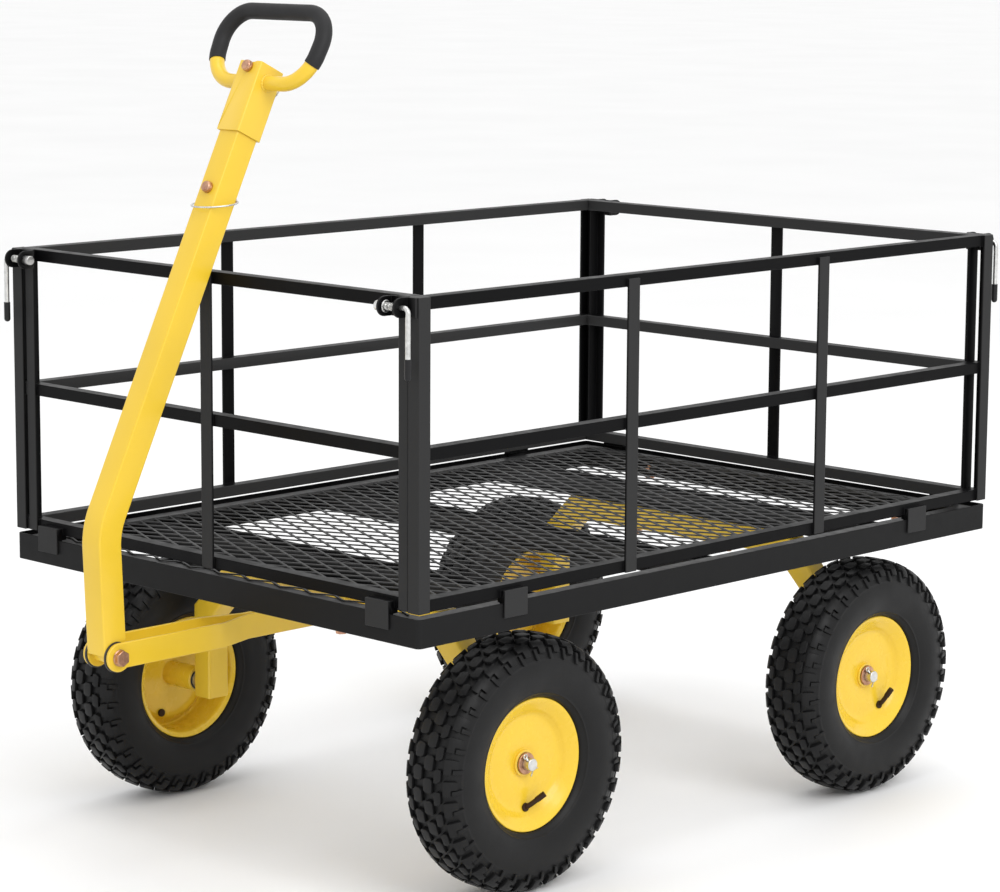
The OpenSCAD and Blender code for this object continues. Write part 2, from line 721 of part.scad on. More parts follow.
// ---- latches, drawn at the right rear corner ----

module latch_bolt() {
    translate([0, latch_y, latch_z]) {
        xrod(bolt_tip_r, lug_in - latch_reach, collar_x + collar_t);
        xrod(collar_r, collar_x, collar_x + collar_t);
        xrod(latch_r, collar_x, bolt_leg_x - bolt_bend);
        translate([bolt_leg_x - bolt_bend, 0, -bolt_bend]) rotate([90, 0, 0])
            rotate_extrude(angle = 90, $fn = 90) translate([bolt_bend, 0]) circle(r = latch_r, $fn = 48);
        translate([bolt_leg_x, 0, -bolt_leg]) cylinder(h = bolt_leg - bolt_bend, r = latch_r, $fn = 48);
    }
}

// Dipped end on the bolt's hanging leg
module latch_tip() {
    translate([bolt_leg_x, latch_y, latch_z - bolt_leg]) difference() {
        union() {
            translate([0, 0, -1.5]) cylinder(h = tip_len, r = tip_r, $fn = 48);
            translate([0, 0, -1.5]) sphere(r = tip_r, $fn = 48);
        }
        cylinder(h = tip_len + past, r = latch_r, $fn = 48);
    }
}

// Coil round the bolt, from its collar to the outer lug
module latch_spring() {
    turn_r = latch_r + 0.5 + spring_wire;
    start = collar_x + collar_t + spring_wire + 0.1;
    length = lug_out - lug_t - start - spring_wire - 0.1;
    sides = 6;
    steps = 14;
    rings = spring_turns * steps;
    points = [for (i = [0 : rings]) let (a = 360 * i / steps, x = start + length * i / rings)
        for (k = [0 : sides - 1]) let (b = 360 * k / sides, r = turn_r + spring_wire * cos(b))
            [x + spring_wire * sin(b), r * cos(a), r * sin(a)]];
    skin = [for (i = [0 : rings - 1], k = [0 : sides - 1])
        let (n = (k + 1) % sides, p = i * sides, q = p + sides) [p + k, p + n, q + n, q + k]];
    caps = [[for (k = [0 : sides - 1]) sides - 1 - k], [for (k = [0 : sides - 1]) rings * sides + k]];
    translate([0, latch_y, latch_z]) polyhedron(points, concat(skin, caps));
}

module latch_part(part, side, end) place() corner(side, end) {
    if (part == "bolt") color(zinc_silver) latch_bolt();
    if (part == "spring") color(zinc_silver) latch_spring();
    if (part == "tip") color(rubber_black) latch_tip();
}

module latch_bolt_front_left() { latch_part("bolt", left, front); }
module latch_bolt_front_right() { latch_part("bolt", right, front); }
module latch_bolt_rear_left() { latch_part("bolt", left, rear); }
module latch_bolt_rear_right() { latch_part("bolt", right, rear); }
module latch_spring_front_left() { latch_part("spring", left, front); }
module latch_spring_front_right() { latch_part("spring", right, front); }
module latch_spring_rear_left() { latch_part("spring", left, rear); }
module latch_spring_rear_right() { latch_part("spring", right, rear); }
module latch_tip_front_left() { latch_part("tip", left, front); }
module latch_tip_front_right() { latch_part("tip", right, front); }
module latch_tip_rear_left() { latch_part("tip", left, rear); }
module latch_tip_rear_right() { latch_part("tip", right, rear); }

// ---- wheels, drawn with their axis along X and the outboard side toward +X ----

module wheel_frame(side, end, phase) place()
    translate([0, end == front ? -front_axle_y : rear_axle_y, axle_z])
        mirror([side == left ? 1 : 0, 0, 0]) translate([wheel_x, 0, 0]) rotate([phase, 0, 0]) children();

// Turned part: its plan is drawn with the radius along X and the axis along Y
module turned() { rotate([0, 90, 0]) rotate_extrude($fn = 180) children(); }

module tyre() color(rubber_black) turned() {
    body_r = tyre_w / 2;
    middle = tyre_r - 2 - body_r;
    difference() {
        union() {
            translate([middle, 0]) circle(r = body_r, $fn = 96);
            polygon([[middle, -34], [tyre_r - 9, -37], [tyre_r - 2, -31], [tyre_r, -16], [tyre_r, 16],
                     [tyre_r - 2, 31], [tyre_r - 9, 37], [middle, 34]]);
        }
        translate([middle, 0]) circle(r = body_r - 8, $fn = 96);
        translate([0, -tyre_w]) square([bead_r + 0.1, 2 * tyre_w]);
        translate([0, -12]) square([middle, 24]);
    }
}

// Pressed rim: outboard face, lip, bead seat and inboard face in one sheet, with the hub tube
module rim() color(powder_yellow) difference() {
    turned() polygon([
        [hub_r, hub_out], [hub_r, 11], [30, 13.5], [55, 13], [64, 15], [69, 20], [76, 25], [81, 28.5],
        [85.5, 29], [85.5, 26.5], [81.5, 26], [bead_r, 24], [bead_r, -24], [81.5, -26], [85.5, -26.5],
        [85.5, -29], [81, -28.5], [77.5, -26], [77.5, 22.5], [71, 18.4], [66, 13.2], [56, 10.4],
        [30, 10.9], [hub_r, 8], [hub_r, hub_in], [bush_r, hub_in], [bush_r, hub_out]
    ]);
    translate([0, valve_at.x, valve_at.y]) xrod(valve_r + run_fit, 5, 20);
}

module bushes() color([0.2, 0.2, 0.2]) difference() {
    union() {
        xrod(bush_r, hub_in, hub_in + 22);
        xrod(bush_r, hub_out - 22, hub_out);
    }
    xrod(shaft_r + run_fit, hub_in - past, hub_out + past);
}

// Rubber valve stem through the rim's dish, with its foot behind and its cap in front
module valve() color(rubber_black) translate([0, valve_at.x, valve_at.y]) {
    xrod(5, 7, 10);
    xrod(valve_r, 9, 23);
    xrod(2.6, 22, 28);
}

module wheel_part(part, side, end) wheel_frame(side, end, end == front ? 0 : 180) {
    if (part == "tyre") tyre();
    if (part == "rim") rim();
    if (part == "bushes") bushes();
    if (part == "valve") valve();
}

module tyre_front_left() { wheel_part("tyre", left, front); }
module tyre_front_right() { wheel_part("tyre", right, front); }
module tyre_rear_left() { wheel_part("tyre", left, rear); }
module tyre_rear_right() { wheel_part("tyre", right, rear); }
module rim_front_left() { wheel_part("rim", left, front); }
module rim_front_right() { wheel_part("rim", right, front); }
module rim_rear_left() { wheel_part("rim", left, rear); }
module rim_rear_right() { wheel_part("rim", right, rear); }
module bushes_front_left() { wheel_part("bushes", left, front); }
module bushes_front_right() { wheel_part("bushes", right, front); }
module bushes_rear_left() { wheel_part("bushes", left, rear); }
module bushes_rear_right() { wheel_part("bushes", right, rear); }
module valve_front_left() { wheel_part("valve", left, front); }
module valve_front_right() { wheel_part("valve", right, front); }
module valve_rear_left() { wheel_part("valve", left, rear); }
module valve_rear_right() { wheel_part("valve", right, rear); }

bed_frame();
floor_bearers();
floor_mesh();
turntable_plate();
bed_bolts();
kingpin();
kingpin_nut();
rear_axle_frame();
rear_axle_shafts();
rear_washers();
rear_split_pins();
front_axle_frame();
front_axle_shafts();
steering_plate();
thrust_washer();
tongue_straps();
pivot_bolt();
pivot_nut();
front_washers();
front_split_pins();
handle_tube();
grip_sleeve();
grip_loop();
grip_cover();
hitch_pins();
pin_bails();
front_panel();
rear_panel();
left_panel();
right_panel();
left_latch_brackets();
right_latch_brackets();
latch_bolt_front_left();
latch_bolt_front_right();
latch_bolt_rear_left();
latch_bolt_rear_right();
latch_spring_front_left();
latch_spring_front_right();
latch_spring_rear_left();
latch_spring_rear_right();
latch_tip_front_left();
latch_tip_front_right();
latch_tip_rear_left();
latch_tip_rear_right();
tyre_front_left();
tyre_front_right();
tyre_rear_left();
tyre_rear_right();
rim_front_left();
rim_front_right();
rim_rear_left();
rim_rear_right();
bushes_front_left();
bushes_front_right();
bushes_rear_left();
bushes_rear_right();
valve_front_left();
valve_front_right();
valve_rear_left();
valve_rear_right();
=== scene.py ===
"""Garden cart for firewood: its looks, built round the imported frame. Metres, +Z up, handle toward -Y."""
import json
import math

import bmesh
import bpy
from mathutils import Matrix, Vector


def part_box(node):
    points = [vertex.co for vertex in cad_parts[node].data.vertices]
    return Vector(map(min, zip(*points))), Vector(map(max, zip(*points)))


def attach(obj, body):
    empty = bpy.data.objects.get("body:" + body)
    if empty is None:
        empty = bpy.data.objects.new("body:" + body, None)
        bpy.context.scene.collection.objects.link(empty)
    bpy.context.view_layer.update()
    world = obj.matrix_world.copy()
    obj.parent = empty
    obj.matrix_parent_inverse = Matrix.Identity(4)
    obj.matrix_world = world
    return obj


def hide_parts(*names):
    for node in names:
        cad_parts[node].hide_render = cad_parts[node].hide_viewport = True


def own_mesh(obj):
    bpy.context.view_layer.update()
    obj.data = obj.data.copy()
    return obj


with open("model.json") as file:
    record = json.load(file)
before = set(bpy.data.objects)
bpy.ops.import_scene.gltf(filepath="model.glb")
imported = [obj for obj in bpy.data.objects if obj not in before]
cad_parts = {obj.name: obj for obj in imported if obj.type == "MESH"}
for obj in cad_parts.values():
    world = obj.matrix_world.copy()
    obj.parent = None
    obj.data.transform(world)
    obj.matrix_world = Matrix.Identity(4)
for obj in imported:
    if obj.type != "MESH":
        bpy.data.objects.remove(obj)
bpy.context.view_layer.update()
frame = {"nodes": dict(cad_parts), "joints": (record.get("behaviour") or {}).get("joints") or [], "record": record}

MM = 0.001
CORNERS = ["front_left", "front_right", "rear_left", "rear_right"]
BODY_OF = {n: body for body, nodes in frame["record"]["behaviour"]["bodies"].items() for n in nodes}
SLOT_OF = {s["node"]: s["material_slot"] for s in frame["record"]["subparts"]}
JOINT = {j["name"]: j for j in frame["joints"]}


# ---------------------------------------------------------------- materials

class Graph:
    """One material's node tree, with short calls that add and link nodes."""

    def __init__(self, name, **sockets):
        self.material = bpy.data.materials.new(name)
        self.material.use_nodes = True
        self.tree = self.material.node_tree
        self.tree.nodes.clear()
        output = self.add("ShaderNodeOutputMaterial")
        self.shader = self.add("ShaderNodeBsdfPrincipled")
        self.tree.links.new(self.shader.outputs["BSDF"], output.inputs["Surface"])
        self.place = self.add("ShaderNodeTexCoord").outputs["Object"]
        for socket, value in sockets.items():
            self.shader.inputs[socket.replace("_", " ")].default_value = value

    def add(self, kind, **settings):
        node = self.tree.nodes.new(kind)
        for key, value in settings.items():
            setattr(node, key, value)
        return node

    def feed(self, node, socket, source):
        if isinstance(source, bpy.types.NodeSocket):
            self.tree.links.new(source, node.inputs[socket])
        else:
            node.inputs[socket].default_value = source

    def noise(self, scale, detail=2.0, roughness=0.5, stretch=None):
        place = self.place
        if stretch:
            mapping = self.add("ShaderNodeMapping")
            mapping.inputs["Scale"].default_value = stretch
            self.feed(mapping, "Vector", place)
            place = mapping.outputs["Vector"]
        node = self.add("ShaderNodeTexNoise")
        self.feed(node, "Vector", place)
        self.feed(node, "Scale", scale)
        self.feed(node, "Detail", detail)
        self.feed(node, "Roughness", roughness)
        return node.outputs["Fac"]

    def span(self, source, low, high, from_low=0.3, from_high=0.7):
        node = self.add("ShaderNodeMapRange")
        self.feed(node, "Value", source)
        limits = {"From Min": from_low, "From Max": from_high, "To Min": low, "To Max": high}
        for socket, value in limits.items():
            self.feed(node, socket, value)
        return node.outputs["Result"]

    def ramp(self, source, stops):
        node = self.add("ShaderNodeValToRGB")
        self.feed(node, "Fac", source)
        ramp = node.color_ramp
        while len(ramp.elements) < len(stops):
            ramp.elements.new(0.5)
        for element, (at, colour) in zip(ramp.elements, stops):
            element.position = at
            element.color = (*colour, 1.0)
        return node.outputs["Color"]

    def blend(self, factor, a, b):
        node = self.add("ShaderNodeMix", data_type="RGBA")
        self.feed(node, "Factor", factor)
        for socket, value in (("A", a), ("B", b)):
            target = next(i for i in node.inputs if i.name == socket and i.type == "RGBA")
            if isinstance(value, bpy.types.NodeSocket):
                self.tree.links.new(value, target)
            else:
                target.default_value = (*value, 1.0)
        return next(o for o in node.outputs if o.type == "RGBA")

    def colour(self, source):
        self.feed(self.shader, "Base Color", source)

    def roughness(self, source):
        self.feed(self.shader, "Roughness", source)

    def bumps(self, *layers):
        """Layers of (height, strength, depth in metres), coarse first."""
        normal = None
        for height, strength, depth in layers:
            node = self.add("ShaderNodeBump")
            self.feed(node, "Height", height)
            self.feed(node, "Strength", strength)
            self.feed(node, "Distance", depth)
            if normal:
                self.feed(node, "Normal", normal)
            normal = node.outputs["Normal"]
        self.feed(self.shader, "Normal", normal)


def shade(colour, factor):
    return tuple(min(1.0, c * factor) for c in colour)


def powder_coat(name, colour, gloss, peel=0.10, specular=0.40, coat=0.20):
    """Sprayed and baked paint: orange peel, faint cloudiness, and a painted highlight that lightens sharp edges.
    """
    g = Graph(name, Specular_IOR_Level=specular, Coat_Weight=coat, Coat_Roughness=0.12)
    cloud = g.noise(7.0, 3.0)
    speck = g.noise(1400.0, 1.0)
    tone = g.ramp(cloud, [(0.25, shade(colour, 0.93)), (0.5, colour), (0.8, shade(colour, 1.05))])
    tone = g.blend(g.span(speck, 0.0, 0.16, 0.45, 0.75), tone, shade(colour, 0.80))
    # Painted highlight: sharp edges painted a little lighter, standing in for the light that edges catch.
    edge_highlight_pointiness = g.add("ShaderNodeNewGeometry").outputs["Pointiness"]
    edge = g.span(edge_highlight_pointiness, 0.0, 0.35, 0.53, 0.60)
    tone = g.blend(edge, tone, tuple(c + (1.0 - c) * 0.12 for c in colour))
    g.colour(tone)
    g.roughness(g.span(g.noise(60.0, 4.0), gloss - 0.05, gloss + 0.07))
    g.bumps((g.noise(28.0, 2.0), 0.04, 1.0 * MM), (g.noise(420.0, 2.0), peel, 0.25 * MM))
    return g.material


def moulded_rubber(name, colour, rough, grain):
    """Vulcanised rubber: bloom in patches, fine mould texture."""
    g = Graph(name, Specular_IOR_Level=0.20)
    bloom = g.noise(22.0, 5.0, 0.6)
    tone = g.ramp(bloom, [(0.3, shade(colour, 0.85)), (0.6, colour), (0.85, shade(colour, 1.25))])
    g.colour(g.blend(g.span(g.noise(900.0, 1.0), 0.0, 0.25, 0.5, 0.8), tone, shade(colour, 1.5)))
    g.roughness(g.span(g.noise(35.0, 4.0), rough - 0.06, rough + 0.08))
    g.bumps((g.noise(160.0, 3.0), 0.10, 0.6 * MM), (g.noise(grain, 2.0), 0.18, 0.2 * MM))
    return g.material


def plated(name, light, dark, rough, metallic=1.0):
    """Zinc plate: cloudy passivation, fine drawn scratches and a little dulling."""
    g = Graph(name, Metallic=metallic)
    film = g.noise(130.0, 4.0, 0.6)
    mean = tuple((a + b) / 2 for a, b in zip(light, dark))
    tone = g.ramp(film, [(0.3, dark), (0.5, mean), (0.72, light)])
    scratch = g.noise(700.0, 2.0, stretch=(1.0, 1.0, 0.06))
    g.colour(g.blend(g.span(scratch, 0.0, 0.3, 0.55, 0.8), tone, shade(light, 1.25)))
    g.roughness(g.span(g.noise(240.0, 3.0), rough - 0.07, rough + 0.10))
    g.bumps((scratch, 0.06, 0.15 * MM), (g.noise(1500.0, 1.0), 0.05, 0.1 * MM))
    return g.material


def sintered(name):
    """Bush plastic: matte, slightly mottled."""
    g = Graph(name)
    g.colour(g.ramp(g.noise(300.0, 3.0), [(0.3, (0.020, 0.020, 0.021)), (0.8, (0.038, 0.038, 0.040))]))
    g.roughness(g.span(g.noise(90.0, 2.0), 0.5, 0.68))
    g.bumps((g.noise(900.0, 2.0), 0.15, 0.1 * MM))
    return g.material


YELLOW = (0.745, 0.495, 0.028)
BLACK = (0.0026, 0.0026, 0.0029)
BLACK_SHINE = {"specular": 0.07, "coat": 0.0}

MATERIALS = {
    "bed_paint": powder_coat("bed_paint", BLACK, 0.42, **BLACK_SHINE),
    "mesh_paint": powder_coat("mesh_paint", shade(BLACK, 1.3), 0.38, **BLACK_SHINE),
    "panel_paint": powder_coat("panel_paint", shade(BLACK, 1.05), 0.40, **BLACK_SHINE),
    "chassis_paint": powder_coat("chassis_paint", shade(YELLOW, 0.97), 0.34),
    "handle_paint": powder_coat("handle_paint", YELLOW, 0.34),
    "rim_paint": powder_coat("rim_paint", shade(YELLOW, 1.02), 0.26, peel=0.06),
    "tyre": moulded_rubber("tyre", (0.0075, 0.0075, 0.0078), 0.44, 700.0),
    "valve_rubber": moulded_rubber("valve_rubber", (0.030, 0.014, 0.006), 0.50, 900.0),
    "grip_rubber": moulded_rubber("grip_rubber", (0.020, 0.020, 0.021), 0.55, 1100.0),
    "dipped_tip": moulded_rubber("dipped_tip", (0.014, 0.014, 0.015), 0.34, 500.0),
    "bush": sintered("bush"),
    "spring_wire": plated("spring_wire", (0.72, 0.72, 0.70), (0.42, 0.42, 0.41), 0.28),
    "bright_zinc": plated("bright_zinc", (0.74, 0.74, 0.73), (0.50, 0.50, 0.49), 0.32),
    "yellow_zinc": plated("yellow_zinc", (0.64, 0.38, 0.24), (0.36, 0.18, 0.13), 0.34),
}


# ---------------------------------------------------------------- piece helpers

def finish_piece(name, mesh, node, body=None, smooth_angle=35.0, material=None):
    """Link a mesh as the piece that stands for a CAD node, with that node's slot and material."""
    piece = bpy.data.objects.new(name, mesh)
    bpy.context.scene.collection.objects.link(piece)
    slot = SLOT_OF[node]
    mesh.materials.clear()
    mesh.materials.append(material or MATERIALS[slot])
    smooth(mesh, smooth_angle)
    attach(piece, body or BODY_OF[node])
    return piece


def smooth(mesh, angle):
    """Smooth shading, with edges sharper than the angle kept crisp."""
    mesh.polygons.foreach_set("use_smooth", [True] * len(mesh.polygons))
    mesh.set_sharp_from_angle(angle=math.radians(angle))


def bevel_all(piece, width, segments=2, angle=32.0):
    modifier = piece.modifiers.new("edges", "BEVEL")
    modifier.width = width
    modifier.segments = segments
    modifier.limit_method = "ANGLE"
    modifier.angle_limit = math.radians(angle)
    modifier.use_clamp_overlap = False
    modifier.harden_normals = False
    return modifier


def solid_copy(node):
    """A CAD node's surface as one clean bmesh, flat areas merged back into whole faces."""
    bm = bmesh.new()
    bm.from_mesh(frame["nodes"][node].data)
    bmesh.ops.remove_doubles(bm, verts=bm.verts, dist=1e-6)
    bmesh.ops.dissolve_limit(bm, angle_limit=math.radians(0.4), verts=bm.verts, edges=bm.edges)
    bmesh.ops.recalc_face_normals(bm, faces=bm.faces)
    return bm


def soften(node, width=0.6 * MM, tube_radius=0.0, tube_edge=None):
    """The CAD node with its edges broken, and with a square tube's long corners rolled if asked."""
    bm = solid_copy(node)
    if tube_edge:
        edges = [e for e in bm.edges if len(e.link_faces) == 2 and tube_edge(e)]
        bmesh.ops.bevel(bm, geom=edges, offset=tube_radius, segments=4, profile=0.5, affect="EDGES",
                        clamp_overlap=False)
    mesh = bpy.data.meshes.new(node + "_skin")
    bm.to_mesh(mesh)
    bm.free()
    piece = finish_piece(node + "_skin", mesh, node)
    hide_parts(node)
    if width:
        bevel_all(piece, width)
    return piece


def ring_mesh(profile, steps):
    """Closed profile of (x, r) points turned about the X axis."""
    bm = bmesh.new()
    rings = []
    for k in range(steps):
        a = 2 * math.pi * k / steps
        rings.append([bm.verts.new((x, r * math.cos(a), r * math.sin(a))) for x, r in profile])
    for k in range(steps):
        here, there = rings[k], rings[(k + 1) % steps]
        for i in range(len(profile)):
            j = (i + 1) % len(profile)
            bm.faces.new((here[i], here[j], there[j], there[i]))
    bmesh.ops.recalc_face_normals(bm, faces=bm.faces)
    return bm


def spline(points, steps):
    """Catmull-Rom curve through points of any dimension."""
    out = []
    n = len(points)
    for i in range(n - 1):
        a, b, c, d = (Vector(points[max(0, min(n - 1, i + k))]) for k in (-1, 0, 1, 2))
        for s in range(steps):
            t = s / steps
            out.append(0.5 * (2 * b + (c - a) * t + (2 * a - 5 * b + 4 * c - d) * t ** 2
                              + (3 * b - a - 3 * c + d) * t ** 3))
    out.append(Vector(points[-1]))
    return out


def tube_along(points, radius, sides=12, closed=False, ripple=0.0, ripples=0):
    """Round bar along 3-D points; ripple makes the rings of a weld bead."""
    bm = bmesh.new()
    rings = []
    n = len(points)
    normal = None
    for i, p in enumerate(points):
        before = points[(i - 1) % n] if closed or i > 0 else p
        after = points[(i + 1) % n] if closed or i < n - 1 else p
        along = (after - before).normalized()
        if normal is None:
            normal = along.orthogonal().normalized()
        normal = (normal - along * normal.dot(along)).normalized()
        side = along.cross(normal)
        r = radius * (1 + ripple * math.cos(2 * math.pi * ripples * i / n))
        rings.append([bm.verts.new(p + (normal * math.cos(t) + side * math.sin(t)) * r)
                      for t in (2 * math.pi * k / sides for k in range(sides))])
    for i in range(n if closed else n - 1):
        here, there = rings[i], rings[(i + 1) % n]
        for k in range(sides):
            bm.faces.new((here[k], here[(k + 1) % sides], there[(k + 1) % sides], there[k]))
    if not closed:
        bm.faces.new(rings[0])
        bm.faces.new(rings[-1])
    bmesh.ops.recalc_face_normals(bm, faces=bm.faces)
    return bm


def to_mesh(bm, name):
    mesh = bpy.data.meshes.new(name)
    bm.to_mesh(mesh)
    bm.free()
    return mesh


# ---------------------------------------------------------------- wheels

TYRE_STEPS = 216
TREAD_PITCHES = 36
TREAD_HEIGHT = 5.2 * MM
# Outboard half of the carcass, (x, r) in mm from the crown to the bead
CARCASS = [(0, 159.8), (13, 159.4), (25, 157.4), (33, 153.0), (38.6, 144), (41.8, 131), (42.6, 118),
           (40.8, 105),
           (37.0, 94.5), (32.6, 88.6), (29.4, 86.4), (26.0, 85.6)]
BEAD_FOOT = [(25.6, 84.0), (25.4, 80.3)]
SIDEWALL_RIBS = [(52.0, 0.7), (97.0, 0.9)]   # raised rings: distance along the profile and height, mm
RIB_WIDTH = 1.3


class Carcass:
    """The tyre's outer profile, measured by distance from the crown."""

    def __init__(self):
        self.points = [p * MM for p in spline(CARCASS, 10)]
        self.reach = [0.0]
        for a, b in zip(self.points, self.points[1:]):
            self.reach.append(self.reach[-1] + (b - a).length)

    def at(self, u):
        """Point and outward normal at a signed distance: positive is outboard."""
        sign, u = (1 if u >= 0 else -1), abs(u)
        i = max(k for k in range(len(self.reach) - 1) if self.reach[k] <= u + 1e-9)
        a, b = self.points[i], self.points[i + 1]
        t = min(1.0, (u - self.reach[i]) / (self.reach[i + 1] - self.reach[i]))
        along = (b - a).normalized()
        p = a.lerp(b, t)
        return Vector((sign * p.x, p.y)), Vector((-sign * along.y, along.x))

    def ribbed(self):
        out = []
        for p, u in zip(self.points, self.reach):
            _, n = self.at(min(u, self.reach[-2]))
            lift = sum(h * math.exp(-((u / MM - at) / RIB_WIDTH) ** 2) for at, h in SIDEWALL_RIBS)
            out.append(p + n * lift * MM)
        return out


# Tread blocks in mm: stations of (distance from crown, near edge, far edge) round the tyre
CENTRE_BLOCK = [(1.6, -6.5, 6.5), (5.0, -9.2, 8.6), (12.0, -9.8, 9.2), (15.2, -6.8, 7.4)]
INNER_BLOCK = [(18.0, -6.2, 8.6), (22.0, -8.8, 9.2), (26.6, -8.0, 6.0)]
SHOULDER_BLOCK = [(29.4, -9.6, 8.8), (33.0, -10.2, 9.4), (36.4, -10.2, 9.4), (36.9, -10.2, 1.2),
                  (41.0, -10.0, 1.2),
                  (45.0, -9.4, 1.0)]
SHOULDER_TAB = [(38.8, 3.4, 9.4), (43.0, 3.2, 9.2), (49.5, 2.6, 8.4), (53.0, 2.0, 7.0)]
# (stations, offset round the tyre as a share of the pitch, height as a share of the tread's)
TREAD = [(CENTRE_BLOCK, 0.0, 1.0), (INNER_BLOCK, 0.5, 1.0), (SHOULDER_BLOCK, 0.05, 1.0),
         (SHOULDER_TAB, 0.05, 0.62)]


def add_block(bm, carcass, stations, side, angle, height):
    sink = -0.6 * MM
    tops, feet = [], []
    for u, s0, s1 in stations:
        top, foot = [], []
        for s in (s0, s1):
            point, normal = carcass.at(side * u * MM)
            for h, out in ((height, top), (sink, foot)):
                q = point + normal * h
                draft = 1.0 if h > 0 else 1.08
                a = angle + s * draft * MM / 0.163
                out.append(bm.verts.new((q.x, q.y * math.cos(a), q.y * math.sin(a))))
        tops.append(top)
        feet.append(foot)
    for (t0, t1), (f0, f1) in zip(zip(tops, tops[1:]), zip(feet, feet[1:])):
        bm.faces.new((t0[0], t0[1], t1[1], t1[0]))
        bm.faces.new((f0[1], f0[0], f1[0], f1[1]))
        bm.faces.new((t0[0], t1[0], f1[0], f0[0]))
        bm.faces.new((t1[1], t0[1], f0[1], f1[1]))
    for t, f, flip in ((tops[0], feet[0], 1), (tops[-1], feet[-1], -1)):
        bm.faces.new((t[1], t[0], f[0], f[1])[::flip])


def tyre_mesh():
    carcass = Carcass()
    half = carcass.ribbed() + [Vector(p) * MM for p in BEAD_FOOT]
    profile = [Vector((-p.x, p.y)) for p in half[:0:-1]] + half
    bm = ring_mesh(profile, TYRE_STEPS)
    blocks = bmesh.new()
    for k in range(TREAD_PITCHES):
        for side in (-1, 1):
            for stations, offset, share in TREAD:
                shift = offset + (0.5 if side < 0 else 0.0)
                angle = 2 * math.pi * (k + shift) / TREAD_PITCHES
                add_block(blocks, carcass, stations, side, angle, TREAD_HEIGHT * share)
    bmesh.ops.recalc_face_normals(blocks, faces=blocks.faces)
    edges = [e for e in blocks.edges if len(e.link_faces) == 2 and e.calc_face_angle(0) > math.radians(40)]
    bmesh.ops.bevel(blocks, geom=edges, offset=0.55 * MM, segments=2, profile=0.6, affect="EDGES",
                    clamp_overlap=True)
    part = to_mesh(blocks, "tread")
    bm.from_mesh(part)
    bpy.data.meshes.remove(part)
    return to_mesh(bm, "tyre_skin")


# Pressed rim, (x, r) in mm: hub's outboard end, dish, lip, bead seat, far lip, back of the dish,
# hub's inboard end
RIM_HUB_END = [(16.0, 14.1), (16.0, 16.4), (15.4, 17.0), (12.4, 17.2)]
RIM_DISH = [(12.0, 18.2), (12.9, 23), (13.6, 34), (13.3, 47), (12.9, 56), (13.9, 61.5), (17.0, 66.0),
            (19.8, 69.0),
            (23.0, 73.6), (26.6, 79.0), (28.5, 82.6), (28.9, 84.6), (28.0, 85.6), (26.8, 85.0), (26.3, 83.0),
            (25.8, 81.0), (24.0, 80.0), (16.0, 79.2), (0.0, 78.6)]
RIM_BACK = [(-23.5, 77.4), (0.0, 76.2), (17.0, 75.6), (18.8, 73.0), (16.4, 69.6), (13.6, 66.0), (11.2, 61.8),
            (10.4, 55.5), (10.8, 46.0), (11.1, 34.0), (10.4, 23.0), (9.4, 18.2)]
RIM_HUB_BACK = [(8.8, 17.2), (-47.4, 17.2), (-48.0, 16.6), (-48.0, 14.1)]


def rim_mesh():
    face = spline(RIM_DISH, 4)
    far_lip = [Vector((-p.x, p.y)) for p in face[::-1] if p.y > 78.7]
    lip_in = spline([(-28.5, 82.6), (-26.6, 79.0), (-23.5, 77.4)], 4)
    keep = [p for p in far_lip if p.x > -28.6 or p.y > 82.8]
    keep = [p for p in keep if not (p.y < 82.6 and p.x < -26.7)]
    outline = ([Vector(p) for p in RIM_HUB_END] + face + keep + lip_in + spline(RIM_BACK, 4)[1:]
               + [Vector(p) for p in RIM_HUB_BACK])
    return to_mesh(ring_mesh([p * MM for p in outline], 160), "rim_skin")


def wheel_place(corner):
    """From a wheel's own frame, outboard side toward +X, to its place on the cart."""
    hub = Vector(JOINT[f"wheel_{corner}_spin"]["pos_m"])
    turn = math.pi if corner.endswith("left") else 0.0
    phase = {"front_left": 0.3, "front_right": 0.0, "rear_left": 0.9, "rear_right": 0.55}[corner]
    return Matrix.Translation(hub) @ Matrix.Rotation(turn, 4, "Z") @ Matrix.Rotation(phase, 4, "X")


# Middle line of a valve stem in the wheel's own frame, mm
STEM = [(7, 3, -58), (12, 3, -58), (16.5, 4.6, -56.6), (21, 9, -52.5), (26, 15, -46.5), (31, 21, -40.5)]
STEM_STEPS = 6


def valve_stem(corner):
    """Rubber stem that turns over the dish, thinning to a ribbed cap."""
    path = [Vector(p) * MM for p in spline(STEM, STEM_STEPS)]
    bm = tube_along(path[:-7], 3.3 * MM, 20)
    cap = tube_along(path[-9:], 3.9 * MM, 20, ripple=0.05, ripples=4)
    foot = tube_along([Vector((x, 3, -58)) * MM for x in (6.5, 8, 10)], 5.4 * MM, 24)
    collar = tube_along([Vector((x, 3, -58)) * MM for x in (13.2, 14.6, 16.0)], 5.6 * MM, 24)
    for extra in (cap, foot, collar):
        part = to_mesh(extra, "part")
        bm.from_mesh(part)
        bpy.data.meshes.remove(part)
    node = f"valve_{corner}"
    mesh = to_mesh(bm, node + "_skin")
    mesh.transform(wheel_place(corner))
    piece = finish_piece(node + "_skin", mesh, node)
    bevel_all(piece, 0.4 * MM)
    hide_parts(node)


def build_wheels():
    tyre, rim = tyre_mesh(), rim_mesh()
    for corner in CORNERS:
        for kind, mesh in (("tyre", tyre), ("rim", rim)):
            node = f"{kind}_{corner}"
            own = mesh.copy()
            own.transform(wheel_place(corner))
            piece = finish_piece(node + "_skin", own, node, smooth_angle=38.0)
            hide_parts(node)
        valve_stem(corner)
        soften(f"bushes_{corner}", width=0.4 * MM)


# ---------------------------------------------------------------- axles and tongue

AXLE_TUBE = 35 * MM
TUBE_CORNER = 3.2 * MM


